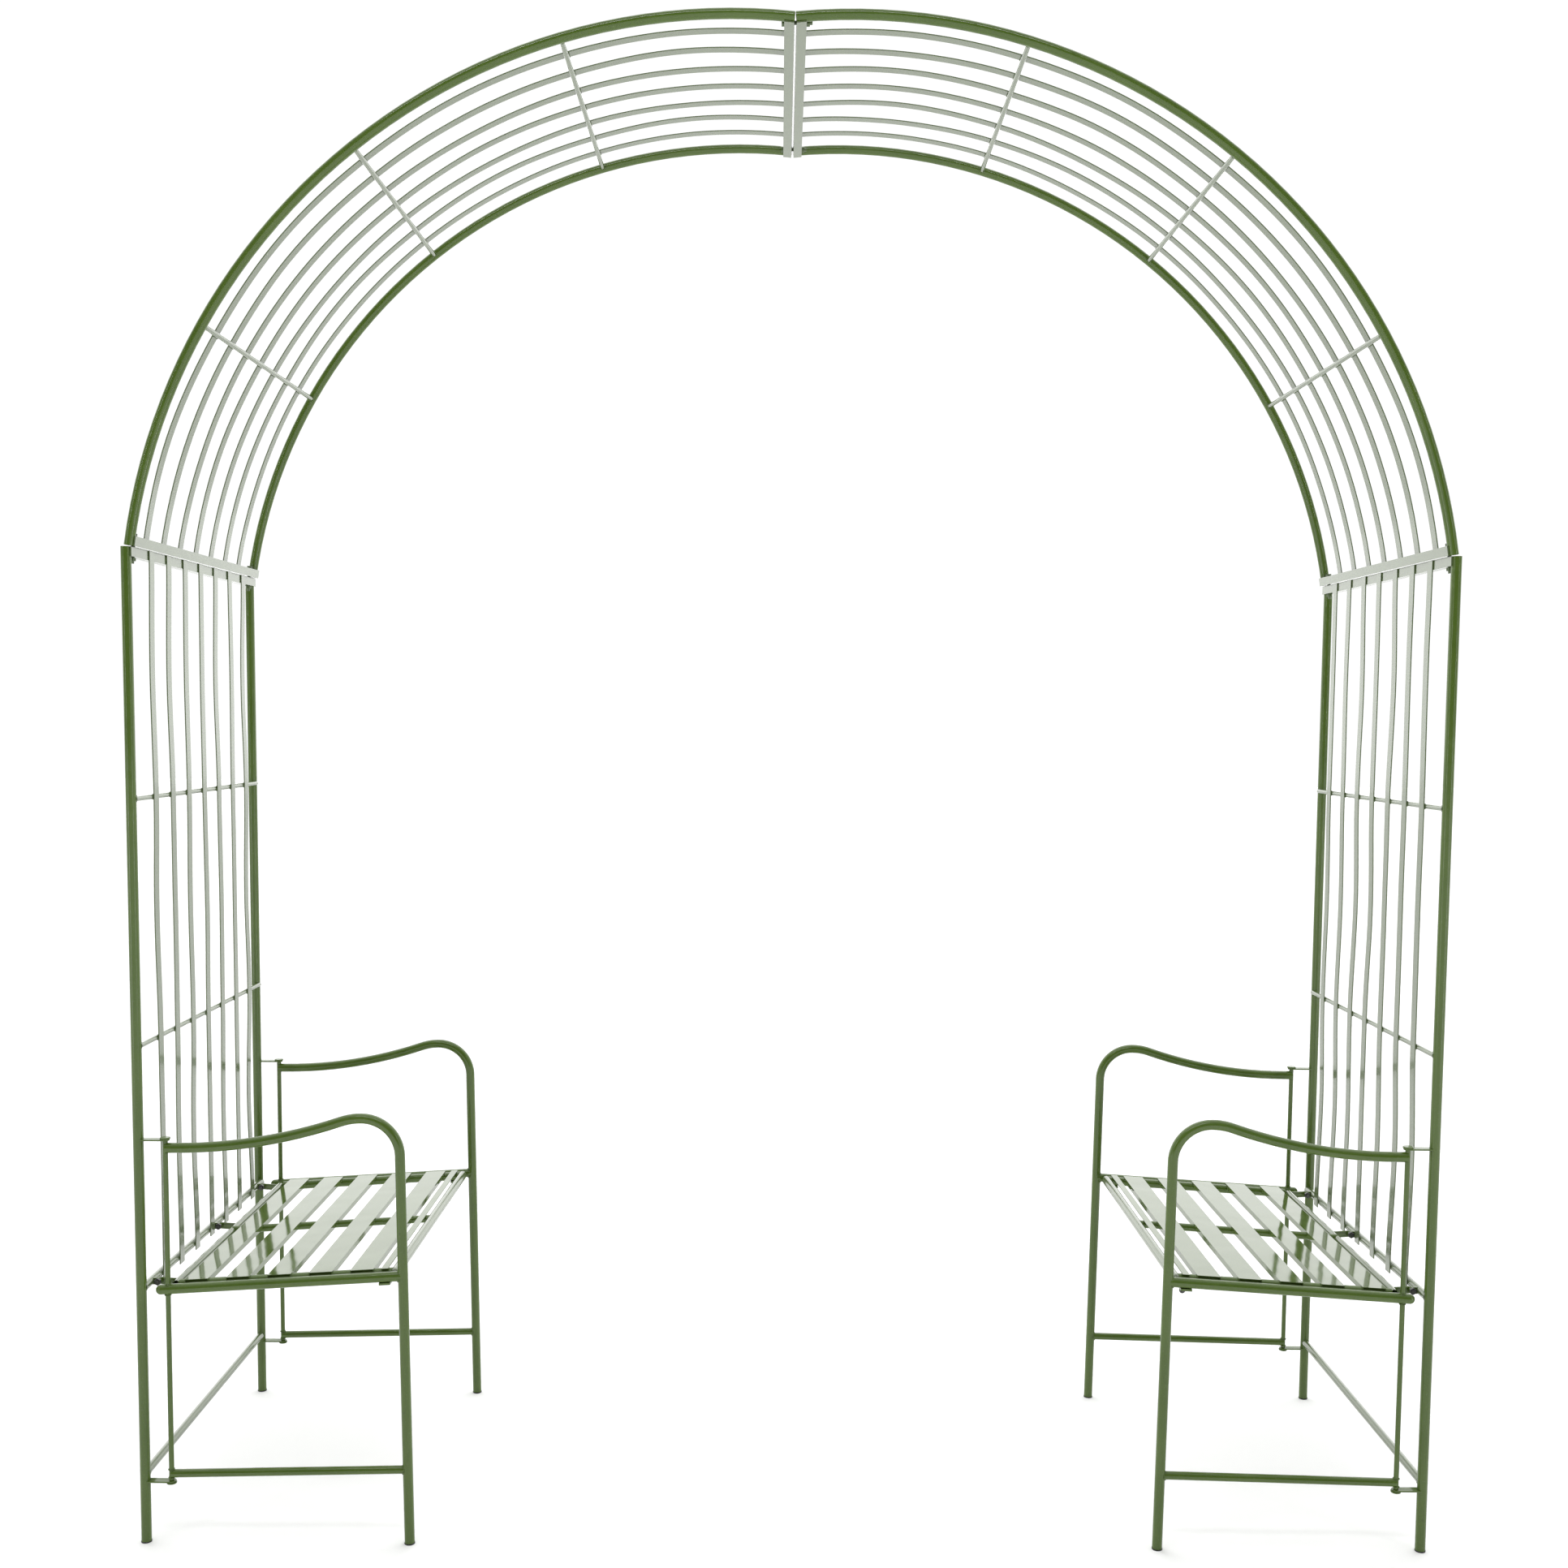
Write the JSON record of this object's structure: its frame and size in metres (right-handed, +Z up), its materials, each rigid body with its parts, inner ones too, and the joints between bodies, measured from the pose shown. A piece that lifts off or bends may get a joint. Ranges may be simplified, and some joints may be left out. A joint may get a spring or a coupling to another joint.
{
  "type": "trellis arch with folding benches",
  "caption": "Round-topped steel garden trellis arch with a slatted folding bench and swinging arm frames inside each side.",
  "frame": {"origin": "on the ground, at the centre of the object's footprint", "axes": "+Z up, +X to the viewer's right across the arch, +Y through the arch to the rear"},
  "size_m": [2.0468, 0.6168, 2.3711],
  "materials": {
    "green_paint": "glossy",
    "green_fasteners": "glossy",
    "dark_fasteners": "satin",
    "foot_caps": "matte"
  },
  "bodies": {
    "arch": {"left_posts": "green_paint", "right_posts": "green_paint", "left_trellis_slats": "green_paint", "right_trellis_slats": "green_paint", "left_arc_tubes": "green_paint", "right_arc_tubes": "green_paint", "left_arc_slats": "green_paint", "right_arc_slats": "green_paint", "trellis_rods": "green_paint", "cross_tubes": "green_paint", "panel_channels": "green_paint", "arc_channels": "green_paint", "joint_bolts": "green_fasteners", "joint_nuts": "green_fasteners", "post_foot_caps": "foot_caps", "arm_hinge_tabs": "green_paint", "seat_hinge_ears": "green_paint", "seat_hinge_bolts": "dark_fasteners", "seat_hinge_nuts": "dark_fasteners"},
    "left_seat": {"left_seat_rear_tube": "green_paint", "left_seat_front_tube": "green_paint", "left_seat_cross_rails": "green_paint", "left_seat_slats": "green_paint", "left_seat_front_strip": "green_paint", "left_seat_hinge_straps": "green_paint"},
    "right_seat": {"right_seat_rear_tube": "green_paint", "right_seat_front_tube": "green_paint", "right_seat_cross_rails": "green_paint", "right_seat_slats": "green_paint", "right_seat_front_strip": "green_paint", "right_seat_hinge_straps": "green_paint"},
    "left_front_arm": {"left_front_armrest_leg": "green_paint", "left_front_hinge_upright": "green_paint", "left_front_seat_rail": "green_paint", "left_front_lower_rail": "green_paint", "left_front_leg_cap": "foot_caps", "left_front_latch_lug": "green_paint", "left_front_latch_bolt": "dark_fasteners"},
    "left_rear_arm": {"left_rear_armrest_leg": "green_paint", "left_rear_hinge_upright": "green_paint", "left_rear_seat_rail": "green_paint", "left_rear_lower_rail": "green_paint", "left_rear_leg_cap": "foot_caps", "left_rear_latch_lug": "green_paint", "left_rear_latch_bolt": "dark_fasteners"},
    "right_front_arm": {"right_front_armrest_leg": "green_paint", "right_front_hinge_upright": "green_paint", "right_front_seat_rail": "green_paint", "right_front_lower_rail": "green_paint", "right_front_leg_cap": "foot_caps", "right_front_latch_lug": "green_paint", "right_front_latch_bolt": "dark_fasteners", "right_front_latch_nut": "dark_fasteners"},
    "right_rear_arm": {"right_rear_armrest_leg": "green_paint", "right_rear_hinge_upright": "green_paint", "right_rear_seat_rail": "green_paint", "right_rear_lower_rail": "green_paint", "right_rear_leg_cap": "foot_caps", "right_rear_latch_lug": "green_paint", "right_rear_latch_bolt": "dark_fasteners"}
  },
  "joints": [
    {"name": "left_seat_fold", "type": "hinge", "parent": "arch", "child": "left_seat", "pos_m": [-0.999, 0, 0.414], "axis": [0, -1, 0], "range_deg": [0, 84]},
    {"name": "right_seat_fold", "type": "hinge", "parent": "arch", "child": "right_seat", "pos_m": [0.999, 0, 0.414], "axis": [0, 1, 0], "range_deg": [0, 84]},
    {"name": "left_front_arm_swing", "type": "hinge", "parent": "arch", "child": "left_front_arm", "pos_m": [-0.973, -0.3, 0.4115], "axis": [0, 0, -1], "range_deg": [0, 90]},
    {"name": "left_rear_arm_swing", "type": "hinge", "parent": "arch", "child": "left_rear_arm", "pos_m": [-0.973, 0.3, 0.4115], "axis": [0, 0, 1], "range_deg": [0, 90]},
    {"name": "right_front_arm_swing", "type": "hinge", "parent": "arch", "child": "right_front_arm", "pos_m": [0.973, -0.3, 0.4115], "axis": [0, 0, 1], "range_deg": [0, 90]},
    {"name": "right_rear_arm_swing", "type": "hinge", "parent": "arch", "child": "right_rear_arm", "pos_m": [0.973, 0.3, 0.4115], "axis": [0, 0, -1], "range_deg": [0, 90]}
  ]
}
